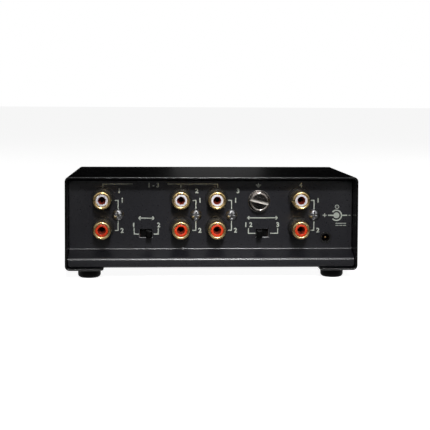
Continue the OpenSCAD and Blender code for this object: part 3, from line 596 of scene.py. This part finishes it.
# the bracket over the three inputs, a number for each pair and one for each socket of a pair
bracket = dict(top=43.5, tick=41.75, leftEnd=-36.9, rightStart=-20.7, lastShift=0.5, middleDrop=0.3)
headings = [("1 - 3", -27.0, 43.0), ("1", -43.1, 40.3), ("2", -6.9, 40.3), ("3", 12.4, 40.3),
            ("4", 41.9, 43.0)]
pair = dict(side=7.1, tick=1.6, top=35.85, bottom=21.75, screwGap=2.6, digit=1.9)


def socketMarks(b=bracket, p=pair):
    # the bracket's three strokes, then beside each pair a hook above and one below its screw
    lastX = socketX[2] + b["lastShift"]
    strokes = [
        stroke([(socketX[0], b["tick"]), (socketX[0], b["top"]), (b["leftEnd"], b["top"])]),
        stroke([(b["rightStart"], b["top"]), (lastX, b["top"]), (lastX, b["tick"])]),
        stroke([(socketX[1], b["tick"]), (socketX[1], b["top"] - b["middleDrop"])])]
    numbers = [digits(*heading) for heading in headings]
    for x in [s + p["side"] for s in socketX]:
        strokes += [
            stroke([(x - p["tick"], p["top"]), (x, p["top"]), (x, screwZ + p["screwGap"])]),
            stroke([(x, screwZ - p["screwGap"]), (x, p["bottom"]), (x - p["tick"], p["bottom"])])]
        numbers += [digits("1", x + p["digit"], p["top"]), digits("2", x + p["digit"], p["bottom"])]
    return strokes + numbers


# at each switch an arrow (left, right, height), a hook at each end of the slot and the positions' numbers
switchSigns = [
    dict(arrow=(-34.0, -26.8, 27.5), leftHook=(-36.1, -34.0), rightHook=(-27.1, -24.9), top=22.8, bottom=20.0,
         numbers=[("1", -36.3, 24.3), ("2", -24.75, 24.3)]),
    dict(arrow=(17.0, 31.0, 27.6), leftHook=(17.4, 20.75), rightHook=(27.7, 31.2), top=22.7, bottom=20.3,
         numbers=[("1 2", 17.6, 24.4), ("3", 31.2, 24.4)]),
]


def switchMarks():
    # for each switch its arrow, its left and right hooks, and its numbers
    strokes, numbers = [], []
    for s in switchSigns:
        (outLeft, inLeft), (inRight, outRight) = s["leftHook"], s["rightHook"]
        strokes += arrow(*s["arrow"]) + [
            stroke([(outLeft, s["top"]), (outLeft, s["bottom"]), (inLeft, s["bottom"])]),
            stroke([(inRight, s["bottom"]), (outRight, s["bottom"]), (outRight, s["top"])])]
        numbers += [digits(*number) for number in s["numbers"]]
    return strokes + numbers


# standard signs: earth over its screw, then power, polarity and direct current over the inlet
earth = dict(shift=-0.3, top=44.0, stem=0.95, stemWidth=0.35, barGap=0.5, barWidth=0.3,
             halfBars=[1.3, 0.85, 0.4])
power = dict(x=59.2, z=32.9, radius=0.85, drop=0.05, first=125, last=415, stemTop=1.05, stemEnd=0.05,
             width=0.3)
polarity = dict(x=58.97, z=28.75, ring=2.4, ringWidth=0.6, opening=140, dot=1.4, dotSteps=40, left=55.0,
                right=64.1, dotGap=1.0, ringGap=0.1, lineWidth=0.55, signWidth=0.4, plusX=53.4, plusZ=28.8,
                plusHalf=0.9, minusX=65.2, minusHalf=0.45)
direct = dict(left=58.6, right=63.6, top=24.98, bottom=23.98, dashes=3, dash=1.44, pitch=1.78, width=0.35)


def earthSign(e=earth):
    # a stem over level bars, each shorter than the one above
    x, z = groundX + e["shift"], e["top"] - e["stem"]
    bars = [stroke([(x - half, z - e["barGap"] * k), (x + half, z - e["barGap"] * k)], e["barWidth"])
            for k, half in enumerate(e["halfBars"])]
    return [stroke([(x, e["top"]), (x, z)], e["stemWidth"])] + bars


def powerSign(p=power):
    # an open ring with a stem through its gap
    return [stroke(arc(p["x"], p["z"] - p["drop"], p["radius"], p["first"], p["last"]), p["width"]),
            stroke([(p["x"], p["z"] + p["stemTop"]), (p["x"], p["z"] + p["stemEnd"])], p["width"])]


def polaritySign(p=polarity):
    # a ring open on the left, a dot, a line to each, a plus and a minus. The dot is a closed stroke whose
    # circle is half as wide as the stroke, so that it fills its middle
    x, z, plusX, plusZ, half = p["x"], p["z"], p["plusX"], p["plusZ"], p["plusHalf"]
    dotEnd = 360 - 360 / p["dotSteps"]
    return [stroke(arc(x, z, p["ring"], p["opening"], -p["opening"]), p["ringWidth"]),
            stroke(arc(x, z, p["dot"] / 2, 0, dotEnd, p["dotSteps"]), p["dot"], True),
            stroke([(p["left"], z), (x - p["dotGap"], z)], p["lineWidth"]),
            stroke([(x + p["ring"] + p["ringGap"], z), (p["right"], z)], p["lineWidth"]),
            stroke([(plusX - half, plusZ), (plusX + half, plusZ)], p["signWidth"]),
            stroke([(plusX, plusZ + half), (plusX, plusZ - half)], p["signWidth"]),
            stroke([(p["minusX"] - p["minusHalf"], z), (p["minusX"] + p["minusHalf"], z)], p["signWidth"])]


def directSign(d=direct):
    # a line over dashes, one each pitch
    starts = [d["left"] + d["pitch"] * k for k in range(d["dashes"])]
    return [stroke([(d["left"], d["top"]), (d["right"], d["top"])], d["width"])] + [
        stroke([(x, d["bottom"]), (x + d["dash"], d["bottom"])], d["width"]) for x in starts]


addMarks("panel_marks_sockets", socketMarks())
addMarks("panel_marks_switches", switchMarks())
addMarks("panel_marks_power", earthSign() + powerSign() + polaritySign() + directSign())
print("marks: 3 pieces")

# camera where the photograph was taken; its shift is what the photograph's framing needs
camera = dict(place=(-21.522, -500.895, 81.883), yaw=0.0486, pitch=0.0453, roll=0.0045, focalPixels=1015.88,
              shiftPixels=-67.0, frame=430, sensor=36, nearClip=0.01)
cameraData = bpy.data.cameras.new("camera")
cameraData.sensor_width = camera["sensor"]
cameraData.lens = camera["focalPixels"] * camera["sensor"] / camera["frame"]
cameraData.shift_y = camera["shiftPixels"] / camera["frame"]
cameraData.clip_start = camera["nearClip"]
cameraObject = addObject("camera", cameraData)
cameraObject.matrix_world = (
    Matrix.Translation(Vector(camera["place"]) * mm)
    @ Matrix.Rotation(-camera["yaw"], 4, "Z")
    @ Matrix.Rotation(math.pi / 2 - camera["pitch"], 4, "X")
    @ Matrix.Rotation(camera["roll"], 4, "Z"))
bpy.context.scene.camera = cameraObject
print("camera placed")

# studio, in metres: a pale floor, a white background, and cards that only reflections see, on a dome round
# the object and flat on the floor. Between the cards the dome is black, apart from its openings
studio = dict(floorSize=30.0, floorColour=0.5, floorShadow=0.6, floorGlow=0.92, domeRadius=3.0, domeStep=1.0,
              domeRise=2.0, cardLevel=0.001, cardLift=0.001, cardWidth=3.0, tableCard=(-0.13, -2.5),
              nearCard=(-0.0385, -0.13), nearLevel=0.2, aimHeight=0.025)
# spans on the dome, in degrees: azimuth from straight behind towards the right, half width, lowest and
# highest elevation. The strip is for the top of the case, the overhead card for the domed and turned parts,
# and the back card, high behind the case, for its top and the sloping step
domeOpenings = [(80, 25, 18, 55), (-80, 25, 18, 55)]
domeCards = dict(
    back_strip=dict(span=(2.8, 2.9, 0, 50), level=0.08, finish="grey_strip"),
    overhead_card=dict(span=(180, 48, 8, 84), level=0.9, finish="overhead_card"),
    back_card=dict(span=(0, 70, 54, 84), level=0.3, finish="back_card"),
)
# lamps: azimuth from the camera's side towards the right, and share, how white a card facing one would look
lamps = dict(
    key=dict(azimuth=3, elevation=39, distance=1.1, width=0.18, height=0.9, share=0.24),
    left=dict(azimuth=-118, elevation=15, distance=1.2, width=0.5, height=0.4, share=0.18),
    right=dict(azimuth=118, elevation=15, distance=1.2, width=0.5, height=0.4, share=0.18),
)
spot = dict(azimuth=3, elevation=33, distance=1.1, radius=0.07, cone=8.8, share=0.36, aimX=0.006)


def grey(level):
    # one level in all three colours
    return (level, level, level, 1)


def backgroundMask(tree):
    # 1 for what the camera, a reflection or a glass shows of the background
    rays = addNode(tree, "ShaderNodeLightPath")
    either = addNode(tree, "ShaderNodeMath", {
        0: rays.outputs["Is Camera Ray"], 1: rays.outputs["Is Glossy Ray"]}, operation="MAXIMUM")
    return addNode(tree, "ShaderNodeMath", {
        0: either.outputs[0], 1: rays.outputs["Is Transmission Ray"]}, operation="MAXIMUM").outputs[0]


def stageMaterial(name):
    # a material of the studio, with an empty node tree
    material = bpy.data.materials.new(name)
    material.use_nodes = True
    material.node_tree.nodes.clear()
    return material, material.node_tree


def addWorld():
    # white where the background is seen, black as a source of light
    world = bpy.data.worlds.new("studio")
    bpy.context.scene.world = world
    world.use_nodes = True
    tree = world.node_tree
    tree.nodes.clear()
    mask = backgroundMask(tree)
    shade = addNode(tree, "ShaderNodeMix", {0: mask, 6: grey(0), 7: grey(1)}, data_type="RGBA")
    background = addNode(tree, "ShaderNodeBackground", {"Color": shade.outputs[2], "Strength": 1})
    addNode(tree, "ShaderNodeOutputWorld", {"Surface": background.outputs[0]})


def floorFinish():
    # a pale matt floor that keeps shadows, with a glow that only the background's rays see, clear from below
    material, tree = stageMaterial("floor")
    mask = backgroundMask(tree)
    tone = addNode(tree, "ShaderNodeMix", {
        0: mask, 6: grey(studio["floorColour"]), 7: grey(studio["floorShadow"])}, data_type="RGBA")
    matt = addNode(tree, "ShaderNodeBsdfDiffuse", {"Color": tone.outputs[2]})
    level = addNode(tree, "ShaderNodeMath", {0: mask, 1: studio["floorGlow"]}, operation="MULTIPLY")
    glow = addNode(tree, "ShaderNodeEmission", {"Color": grey(1), "Strength": level.outputs[0]})
    both = addNode(tree, "ShaderNodeAddShader", {0: matt.outputs[0], 1: glow.outputs[0]})
    sides = addNode(tree, "ShaderNodeMixShader", {
        0: addNode(tree, "ShaderNodeNewGeometry").outputs["Backfacing"], 1: both.outputs[0],
        2: addNode(tree, "ShaderNodeBsdfTransparent").outputs[0]})
    addNode(tree, "ShaderNodeOutputMaterial", {"Surface": sides.outputs[0]})
    return material


def cardFinish(name, level):
    # an even glow
    material, tree = stageMaterial(name)
    glow = addNode(tree, "ShaderNodeEmission", {"Color": grey(1), "Strength": level})
    addNode(tree, "ShaderNodeOutputMaterial", {"Surface": glow.outputs[0]})
    return material


def addSheet(name, points, faces, material):
    # a surface of the studio, in metres, which is no piece of the preamp
    mesh = bpy.data.meshes.new(name)
    mesh.from_pydata(np.asarray(points).tolist(), [], np.asarray(faces).tolist())
    mesh.materials.append(material)
    sheet = addObject(name, mesh)
    return sheet


def addCard(name, points, faces, material):
    # a sheet that only reflections see
    card = addSheet(name, points, faces, material)
    card.visible_camera = card.visible_diffuse = card.visible_shadow = card.visible_transmission = False


def flatSheet(left, right, front, back, height):
    # one level rectangle
    points = [(left, front, height), (right, front, height), (right, back, height), (left, back, height)]
    return points, [[0, 1, 2, 3]]


def addDome(blackCard):
    # point = R (cos e sin a, cos e cos a, sin e) on a grid of azimuth a and elevation e. Each card takes the
    # faces of its span, and the black sheet has what no card or opening takes
    azimuth, elevation = np.arange(-180, 180, studio["domeStep"]), np.arange(0, 91, studio["domeRise"])
    a, e = np.radians(azimuth)[:, None], np.radians(elevation)[None, :]
    outward = np.stack([np.cos(e) * np.sin(a), np.cos(e) * np.cos(a), np.sin(e) + 0 * a], -1)
    points = (studio["domeRadius"] * outward).reshape(-1, 3)
    faces = gridFaces(len(azimuth), len(elevation), loopRows=True)
    faces = faces.reshape(len(azimuth), len(elevation) - 1, 4)
    midA = (azimuth + studio["domeStep"] / 2)[:, None]
    midE = (elevation[:-1] + studio["domeRise"] / 2)[None, :]

    def inside(centre, halfWidth, low, high):
        # the faces whose middles lie in a span
        turn = np.abs((midA - centre + 180) % 360 - 180)
        return (turn < halfWidth) & (midE > low) & (midE < high)

    picked = {name: inside(*card["span"]) for name, card in domeCards.items()}
    picked["back_strip"] &= ~picked["back_card"]
    taken = list(picked.values()) + [inside(*opening) for opening in domeOpenings]
    addCard("black_dome", points, faces[~np.any(taken, axis=0)], blackCard)
    for name, card in domeCards.items():
        addCard(name, points, faces[picked[name]], cardFinish(card["finish"], card["level"]))


def addFloorCard(name, span, material):
    # a card flat on the floor, between two distances in front of the middle
    near, far = span
    half = studio["cardWidth"] / 2
    points, faces = flatSheet(-half, half, far, near, studio["cardLift"])
    addCard(name, points, faces, material)


def placeLamp(data, azimuth, elevation, distance, aimX=0):
    # lamp = aim + distance (cos e sin a, -cos e cos a, sin e), turned towards the aim on the panel
    lamp = addObject(data.name, data)
    a, e = math.radians(azimuth), math.radians(elevation)
    outward = Vector((math.cos(e) * math.sin(a), -math.cos(e) * math.cos(a), math.sin(e)))
    lamp.location = Vector((aimX, panelY * mm, studio["aimHeight"])) + distance * outward
    lamp.rotation_euler = (-outward).to_track_quat("-Z", "Y").to_euler()


def addLamp(name, azimuth, elevation, distance, width, height, share):
    # a soft box
    data = bpy.data.lights.new(name, "AREA")
    data.shape = "RECTANGLE"
    data.size, data.size_y = width, height
    data.energy = share * (math.pi * distance) ** 2  # a card facing power P at distance d shows P / (pi d)^2
    placeLamp(data, azimuth, elevation, distance)


def addSpot(name, azimuth, elevation, distance, radius, cone, share, aimX):
    # brightens the middle of the panel; its light fades from the cone's middle to its edge
    data = bpy.data.lights.new(name, "SPOT")
    data.shadow_soft_size = radius
    data.spot_size = math.radians(cone)
    data.spot_blend = 1
    data.energy = 4 * share * math.pi * (math.pi * distance) ** 2  # a point source shows P / (4 pi (pi d)^2)
    placeLamp(data, azimuth, elevation, distance, aimX)


addWorld()
reach = studio["floorSize"] / 2
points, faces = flatSheet(-reach, reach, -reach, reach, 0)
addSheet("floor", points, faces, floorFinish())
blackCard = cardFinish("black_card", studio["cardLevel"])
addDome(blackCard)
addFloorCard("table_card", studio["tableCard"], blackCard)
addFloorCard("near_card", studio["nearCard"], cardFinish("near_card", studio["nearLevel"]))
for name, lamp in lamps.items():
    addLamp("lamp_" + name, **lamp)
addSpot("lamp_spot", **spot)

bpy.context.scene.view_settings.view_transform = "Standard"
print("studio ready")
